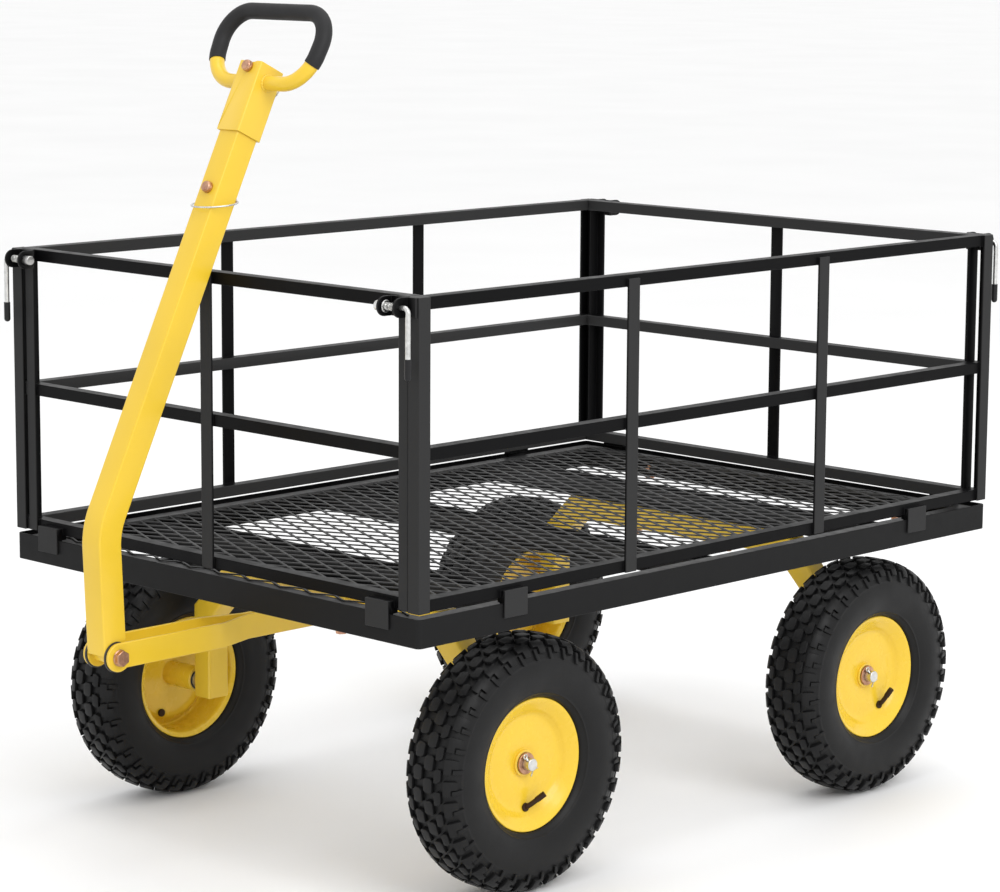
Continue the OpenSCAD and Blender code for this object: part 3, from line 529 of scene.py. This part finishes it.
def square_to(axis, faces):
    """True if one face looks along the axis and the other looks across it."""
    a, b = (abs(f.normal[axis]) for f in faces)
    return (a > 0.99 and b < 0.02) or (b > 0.99 and a < 0.02)


def axle_edge(middle_y, foot_z):
    """Picks an axle frame's four long corners."""
    def pick(edge):
        centre = (edge.verts[0].co + edge.verts[1].co) / 2
        on_face = abs(abs(centre.y - middle_y) - AXLE_TUBE / 2) < 0.05 * MM
        return on_face and centre.z > foot_z + 1 * MM and square_to(1, edge.link_faces)
    return pick


def build_axles():
    for node, corner in (("front_axle_frame", "front_right"), ("rear_axle_frame", "rear_right")):
        middle_y = JOINT[f"wheel_{corner}_spin"]["pos_m"][1]
        soften(node, 0.3 * MM, TUBE_CORNER, axle_edge(middle_y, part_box(node)[0].z))
    for node in ("front_axle_shafts", "rear_axle_shafts", "front_washers", "rear_washers", "steering_plate",
                 "thrust_washer", "turntable_plate", "kingpin", "kingpin_nut", "bed_bolts", "pivot_bolt",
                 "pivot_nut", "hitch_pins"):
        soften(node, 0.7 * MM)
    soften("tongue_straps", 1.0 * MM)
    for node in ("front_split_pins", "rear_split_pins", "pin_bails"):
        soften(node, 0.0)


# ---------------------------------------------------------------- handle

LEAN_LOW = math.radians(2.5)
BEND = math.radians(28.1)
BEND_R = 90 * MM
LOWER_RUN = 135 * MM
TUBE = 35 * MM
TUBE_WALL = 2 * MM
SLEEVE = 41 * MM
LOOP_LOW = 576 * MM
TUBE_END = 596 * MM
STRAP_IN = 20 * MM

PIVOT = Vector(JOINT["handle_pivot"]["pos_m"])
HANDLE = Matrix.Translation(PIVOT) @ Matrix.Rotation(LEAN_LOW, 4, "X")
UPPER = (HANDLE @ Matrix.Translation((0, BEND_R * (1 - math.cos(BEND)), LOWER_RUN + BEND_R * math.sin(BEND)))
         @ Matrix.Rotation(-BEND, 4, "X"))


def rounded_square(half, radius, steps=5):
    points = []
    for quarter in range(4):
        middle = math.pi / 4 + quarter * math.pi / 2
        centre = Vector([math.copysign(half - radius, part) for part in (math.cos(middle), math.sin(middle))])
        for k in range(steps + 1):
            a = quarter * math.pi / 2 + k / steps * math.pi / 2
            points.append(centre + radius * Vector((math.cos(a), math.sin(a))))
    return points


def handle_stations(start, end):
    """Places along the handle's middle line, in its own frame, with the tube's lean there."""
    stations = [(Vector((0, 0, z)), 0.0) for z in (start, LOWER_RUN * 0.5)]
    bends = 28
    for k in range(bends + 1):
        a = BEND * k / bends
        stations.append((Vector((0, BEND_R * (1 - math.cos(a)), LOWER_RUN + BEND_R * math.sin(a))), a))
    last = stations[-1][0]
    along = Vector((0, math.sin(BEND), math.cos(BEND)))
    stations += [(last + along * z, BEND) for z in (end / 2, end)]
    return stations


def sweep_tube(stations, outer, inner, place):
    """A hollow bar: outer and inner outlines carried along the stations, closed at both ends."""
    bm = bmesh.new()
    rings = []
    for centre, lean in stations:
        back = Vector((0, math.cos(lean), -math.sin(lean)))
        rings.append([[bm.verts.new(place @ (centre + Vector((p.x, 0, 0)) + back * p.y)) for p in outline]
                      for outline in (outer, inner)])
    n = len(outer)
    for here, there in zip(rings, rings[1:]):
        for k in range(n):
            m = (k + 1) % n
            bm.faces.new((here[0][k], here[0][m], there[0][m], there[0][k]))
            bm.faces.new((here[1][m], here[1][k], there[1][k], there[1][m]))
    for ring in (rings[0], rings[-1]):
        for k in range(n):
            m = (k + 1) % n
            bm.faces.new((ring[0][m], ring[0][k], ring[1][k], ring[1][m]))
    bmesh.ops.recalc_face_normals(bm, faces=bm.faces)
    return bm


def add_cheek(bm, side):
    """Rounded ear at the foot of the handle tube, round the pivot."""
    half = TUBE / 2
    flat = half - 0.4 * MM
    outline = [(-flat, 5 * MM)] + [(-flat * math.cos(a), -flat * math.sin(a))
                                  for a in (math.pi * k / 24 for k in range(25))] + [(flat, 5 * MM)]
    x_out, x_in = side * half, side * (half - TUBE_WALL)
    outer = [bm.verts.new(HANDLE @ Vector((x_out, y, z))) for y, z in outline]
    inner = [bm.verts.new(HANDLE @ Vector((x_in, y, z))) for y, z in outline]
    bm.faces.new(outer)
    bm.faces.new(inner[::-1])
    n = len(outline)
    for k in range(n):
        m = (k + 1) % n
        bm.faces.new((outer[m], outer[k], inner[k], inner[m]))


def build_handle():
    bm = sweep_tube(handle_stations(3 * MM, TUBE_END), rounded_square(TUBE / 2, 2.2 * MM),
                    rounded_square(TUBE / 2 - TUBE_WALL, 1.0 * MM), HANDLE)
    for side in (-1, 1):
        add_cheek(bm, side)
    bush = tube_along([HANDLE @ Vector((x * MM, 0, 0)) for x in (-19.7, 0, 19.7)], 9.5 * MM, 32)
    part = to_mesh(bush, "bush")
    bm.from_mesh(part)
    bpy.data.meshes.remove(part)
    bmesh.ops.recalc_face_normals(bm, faces=bm.faces)
    tube = finish_piece("handle_tube_skin", to_mesh(bm, "handle_tube_skin"), "handle_tube")
    bevel_all(tube, 0.3 * MM)
    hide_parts("handle_tube")

    def sleeve_edge(edge):
        a, b = (UPPER.inverted() @ v.co for v in edge.verts)
        across = min(abs(abs(p.x) - SLEEVE / 2) for p in (a, b)) < 0.1 * MM
        front = min(abs(abs(p.y) - SLEEVE / 2) for p in (a, b)) < 0.1 * MM
        return across and front and abs(a.z - b.z) > 20 * MM

    soften("grip_sleeve", 0.5 * MM, 2.4 * MM, sleeve_edge)
    soften("grip_loop", 0.0)
    soften("grip_cover", 0.5 * MM)
    for name, side in (("left", -1), ("right", 1)):
        spacer(name, side)


def spacer(name, side):
    """Black plastic disc between the handle tube and a tongue strap."""
    x0, x1 = side * (TUBE / 2 + 0.1 * MM), side * (STRAP_IN - 0.1 * MM)
    bm = ring_mesh([(x0, 9.6 * MM), (x0, 19.2 * MM), (x1, 19.2 * MM), (x1, 9.6 * MM)], 64)
    mesh = to_mesh(bm, f"pivot_spacer_{name}")
    mesh.transform(HANDLE)
    disc = bpy.data.objects.new(f"pivot_spacer_{name}", mesh)
    bpy.context.scene.collection.objects.link(disc)
    mesh.materials.append(MATERIALS["bush"])
    smooth(mesh, 35.0)
    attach(disc, "handle")


# ---------------------------------------------------------------- bed and panels

DIAMOND_SHORT = 26 * MM
DIAMOND_LONG = 58 * MM
STRAND_W = 2.3 * MM
STRAND_T = 1.5 * MM
BORDER = 20 * MM
BORDER_T = 3.4 * MM


def floor_mesh():
    """Expanded steel: zigzag strands that meet at their bonds, inside a flat-bar border."""
    low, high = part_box("floor_mesh")
    middle = (low + high) / 2
    half_w, half_l = (high.x - low.x) / 2, (high.y - low.y) / 2
    bm = bmesh.new()

    def block(x0, x1, y0, y1, z0, z1):
        vs = [bm.verts.new((middle.x + x, middle.y + y, z))
              for x in (x0, x1) for y in (y0, y1) for z in (z0, z1)]
        for f in ((0, 1, 3, 2), (4, 6, 7, 5), (0, 4, 5, 1), (2, 3, 7, 6), (0, 2, 6, 4), (1, 5, 7, 3)):
            bm.faces.new([vs[i] for i in f])

    top = low.z + BORDER_T
    for side in (-1, 1):
        x = sorted((side * half_w, side * (half_w - BORDER)))
        y = sorted((side * half_l, side * (half_l - BORDER)))
        block(x[0], x[1], -half_l, half_l, low.z, top)
        block(-half_w + BORDER, half_w - BORDER, y[0], y[1], low.z, top)
    reach_x = half_w - BORDER + 5 * MM
    count = int(reach_x / (DIAMOND_LONG / 2))
    rows = int((half_l - BORDER + 5 * MM) / (DIAMOND_SHORT / 2))
    rise = STRAND_W / 2 / math.cos(math.atan(DIAMOND_SHORT / DIAMOND_LONG))
    for row in range(-rows, rows + 1):
        ring = None
        for k in range(-count, count + 1):
            up = 1 if (k + row) % 2 == 0 else -1
            x = middle.x + k * DIAMOND_LONG / 2
            y = middle.y + row * DIAMOND_SHORT / 2 + up * (DIAMOND_SHORT / 4 - 0.5 * MM)
            z = top + 0.25 * MM + (0.5 * MM if up > 0 else 0.0)
            new = [bm.verts.new((x, y - rise, z)), bm.verts.new((x, y + rise, z + 0.3 * MM)),
                   bm.verts.new((x, y + rise, z + 0.3 * MM + STRAND_T)),
                   bm.verts.new((x, y - rise, z + STRAND_T))]
            if ring:
                for i in range(4):
                    j = (i + 1) % 4
                    bm.faces.new((ring[i], ring[j], new[j], new[i]))
            else:
                bm.faces.new(new)
            ring = new
        bm.faces.new(ring[::-1])
    bmesh.ops.recalc_face_normals(bm, faces=bm.faces)
    piece = finish_piece("floor_mesh_skin", to_mesh(bm, "floor_mesh_skin"), "floor_mesh")
    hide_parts("floor_mesh")


def build_bed():
    floor_mesh()
    soften("bed_frame", 0.9 * MM)
    soften("floor_bearers", 0.7 * MM)
    for side in ("front", "rear", "left", "right"):
        soften(side + "_panel", 0.8 * MM)
    for side in ("left", "right"):
        soften(side + "_latch_brackets", 0.6 * MM)


# ---------------------------------------------------------------- latches

SPRING_WIRE = 0.6 * MM
SPRING_TURNS = 7


def latch_spring(corner):
    """Coil between the bolt's collar and the outer lug."""
    node = "latch_spring_" + corner
    low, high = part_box(node)
    middle = (low + high) / 2
    turn_r = (high.z - low.z) / 2 - SPRING_WIRE
    steps = SPRING_TURNS * 20
    length = high.x - low.x - 2 * SPRING_WIRE
    points = []
    for i in range(steps + 1):
        a = 2 * math.pi * SPRING_TURNS * i / steps
        x = low.x + SPRING_WIRE + length * i / steps
        points.append(Vector((x, middle.y + turn_r * math.cos(a), middle.z + turn_r * math.sin(a))))
    mesh = to_mesh(tube_along(points, SPRING_WIRE, 8), node + "_skin")
    side = "left" if corner.endswith("left") else "right"
    piece = finish_piece(node + "_skin", mesh, node, body=side + "_panel")
    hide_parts(node)
    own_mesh(piece)


def build_latches():
    for corner in CORNERS:
        soften("latch_bolt_" + corner, 0.5 * MM)
        soften("latch_tip_" + corner, 0.4 * MM)
        latch_spring(corner)


# ---------------------------------------------------------------- weld beads

def bead(name, points, node, radius=1.9 * MM, closed=False):
    """A rippled weld along fine points, painted with its node."""
    length = sum((b - a).length for a, b in zip(points, points[1:]))
    ripples = round(length / (3.2 * MM))
    mesh = to_mesh(tube_along(points, radius, 8, closed, ripple=0.13, ripples=ripples), name)
    return finish_piece(name, mesh, node, smooth_angle=60.0)


def line(a, b, step=0.8 * MM):
    a, b = Vector(a), Vector(b)
    n = max(2, int((b - a).length / step))
    return [a.lerp(b, k / n) for k in range(n + 1)]


def circle(centre, radius, axis_u, axis_v, n=96):
    return [Vector(centre) + radius * (math.cos(t) * Vector(axis_u) + math.sin(t) * Vector(axis_v))
            for t in (2 * math.pi * k / n for k in range(n))]


def build_welds():
    for end in ("front", "rear"):
        hub = JOINT[f"wheel_{end}_right_spin"]["pos_m"]
        leg_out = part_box(f"{end}_axle_frame")[1].x
        for side, sign in (("left", -1), ("right", 1)):
            bead(f"collar_weld_{end}_{side}",
                 circle((sign * leg_out, hub[1], hub[2]), 12.4 * MM, (0, 1, 0), (0, 0, 1)),
                 f"{end}_axle_frame", closed=True)
    strap_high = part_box("tongue_straps")[1]
    beam_y = strap_high.y
    for side, sign in (("left", -1), ("right", 1)):
        x = sign * 8.2 * MM
        bead(f"tongue_weld_{side}",
             line((x, beam_y - 0.6 * MM, 307 * MM), (x, beam_y - 0.6 * MM, strap_high.z)),
             "front_axle_frame", 2.2 * MM)
        rim_x = SLEEVE / 2 + 0.2 * MM
        centre = UPPER @ Vector((sign * rim_x, 0, LOOP_LOW))
        u = (UPPER.to_3x3() @ Vector((0, 1, 0)))
        v = (UPPER.to_3x3() @ Vector((0, 0, 1)))
        bead(f"loop_weld_{side}", circle(centre, 9.7 * MM, u, v), "grip_sleeve", 1.7 * MM, closed=True)
    plate_low, plate_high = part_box("steering_plate")
    swivel_y = JOINT["steering_swivel"]["pos_m"][1]
    for name, sign in (("front", -1), ("rear", 1)):
        y = swivel_y + sign * (AXLE_TUBE / 2 + 0.4 * MM)
        z = plate_low.z - 0.6 * MM
        bead(f"plate_weld_{name}", line((plate_low.x + 4 * MM, y, z), (plate_high.x - 4 * MM, y, z)),
             "front_axle_frame", 2.2 * MM)


# ---------------------------------------------------------------- stage

ROW_SHIFT = JOINT["steering_swivel"]["pos_m"][1] + 336 * MM
CAMERA_BACK = Vector((0.69147, -0.70405, 0.16183))
CAMERA_RIGHT = Vector((0.71276, 0.70139, 0.00592))
CAMERA_UP = Vector((-0.11768, 0.11125, 0.98680))
CAMERA_TARGET = Vector((-0.160, 0.133 + ROW_SHIFT, 0.455))
CAMERA_DISTANCE = 4.757
CAMERA_LENS = 118.2


def build_camera():
    data = bpy.data.cameras.new("camera")
    data.lens = CAMERA_LENS
    data.sensor_width = 36.0
    camera = bpy.data.objects.new("camera", data)
    bpy.context.scene.collection.objects.link(camera)
    turn = Matrix((CAMERA_RIGHT, CAMERA_UP, CAMERA_BACK)).transposed().to_4x4()
    camera.matrix_world = Matrix.Translation(CAMERA_TARGET + CAMERA_BACK * CAMERA_DISTANCE) @ turn
    bpy.context.scene.camera = camera


def area_light(name, place, aim, size, power, tint=(1.0, 1.0, 1.0)):
    data = bpy.data.lights.new(name, "AREA")
    data.shape = "RECTANGLE"
    data.size, data.size_y = size
    data.energy = power
    data.color = tint
    light = bpy.data.objects.new(name, data)
    bpy.context.scene.collection.objects.link(light)
    light.matrix_world = (Matrix.Translation(place)
                          @ (Vector(aim) - Vector(place)).to_track_quat("-Z", "Y").to_matrix().to_4x4())


def build_stage():
    bm = bmesh.new()
    half = 60.0
    corners = [(-half, -half), (half, -half), (half, half), (-half, half)]
    bm.faces.new([bm.verts.new((x, y, 0.0)) for x, y in corners])
    floor = bpy.data.objects.new("floor", to_mesh(bm, "floor"))
    bpy.context.scene.collection.objects.link(floor)
    g = Graph("floor_pale")
    g.colour(g.ramp(g.noise(1.2, 3.0), [(0.2, (0.84, 0.84, 0.84)), (0.8, (0.88, 0.88, 0.88))]))
    g.roughness(g.span(g.noise(3.0, 2.0), 0.55, 0.65))
    floor.data.materials.append(g.material)

    world = bpy.data.worlds.new("studio")
    world.use_nodes = True
    background = world.node_tree.nodes["Background"]
    background.inputs["Color"].default_value = (1.0, 1.0, 1.0, 1.0)
    background.inputs["Strength"].default_value = 1.10
    bpy.context.scene.world = world
    bpy.context.scene.view_settings.view_transform = "Standard"

    area_light("key", (3.8, -0.9, 3.2), (0, 0, 0.4), (2.6, 2.6), 85)
    area_light("top", (0, 0.4, 4.4), (0, 0, 0), (3.0, 3.6), 45)


build_camera()
build_stage()
build_wheels()
build_axles()
build_handle()
build_bed()
build_latches()
build_welds()
